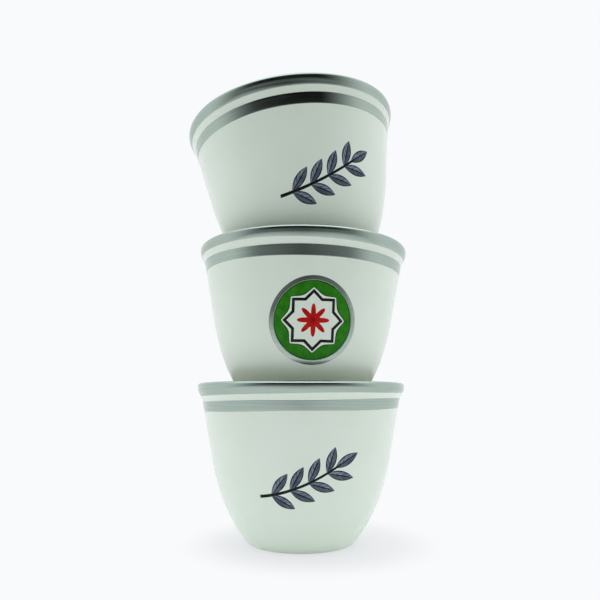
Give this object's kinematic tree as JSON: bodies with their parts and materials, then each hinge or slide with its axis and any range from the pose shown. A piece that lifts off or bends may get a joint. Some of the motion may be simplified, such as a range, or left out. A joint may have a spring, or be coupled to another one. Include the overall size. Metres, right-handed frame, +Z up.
{
  "type": "stacked coffee cups",
  "caption": "Stack of handleless porcelain coffee cups with flared, platinum-banded rims, each upper cup standing on a cork plate in the mouth of the cup below and lifting straight off.",
  "frame": {"origin": "middle of the stack's footprint box, on the surface that the bottom cup's foot ring stands on", "axes": "+Z up the stack, -Y the printed front, +X to the viewer's right"},
  "size_m": [0.0678, 0.0684, 0.1332],
  "materials": {
    "porcelain": "satin white glaze with a slight green cast",
    "platinum": "brushed-on platinum lustre, fired",
    "slate_print": "fired slate-blue print",
    "black_print": "fired black print",
    "green_print": "fired green print",
    "red_print": "fired red print",
    "cork": "pressed cork"
  },
  "bodies": {
    "bottom_cup": {"bottom_cup_body": "porcelain", "bottom_lip_band": "platinum", "bottom_wall_band": "platinum", "bottom_sprig": "slate_print"},
    "lower_cork": {"lower_cork": "cork"},
    "middle_cup": {"middle_cup_body": "porcelain", "middle_lip_band": "platinum", "middle_wall_band": "platinum", "medallion_rim": "platinum", "medallion_border": "green_print", "medallion_star": "black_print", "medallion_rosette": "red_print"},
    "upper_cork": {"upper_cork": "cork"},
    "top_cup": {"top_cup_body": "porcelain", "top_lip_band": "platinum", "top_wall_band": "platinum", "top_sprig": "slate_print"}
  },
  "joints": [
    {"name": "lower_cork_lift", "type": "slide", "parent": "bottom_cup", "child": "lower_cork", "axis": [0, 0, 1], "range_m": [0, 0.035]},
    {"name": "middle_cup_lift", "type": "slide", "parent": "lower_cork", "child": "middle_cup", "axis": [0, 0, 1], "range_m": [0, 0.035]},
    {"name": "upper_cork_lift", "type": "slide", "parent": "middle_cup", "child": "upper_cork", "axis": [0, 0, 1], "range_m": [0, 0.035]},
    {"name": "top_cup_lift", "type": "slide", "parent": "upper_cork", "child": "top_cup", "axis": [0, 0, 1], "range_m": [0, 0.035]}
  ]
}
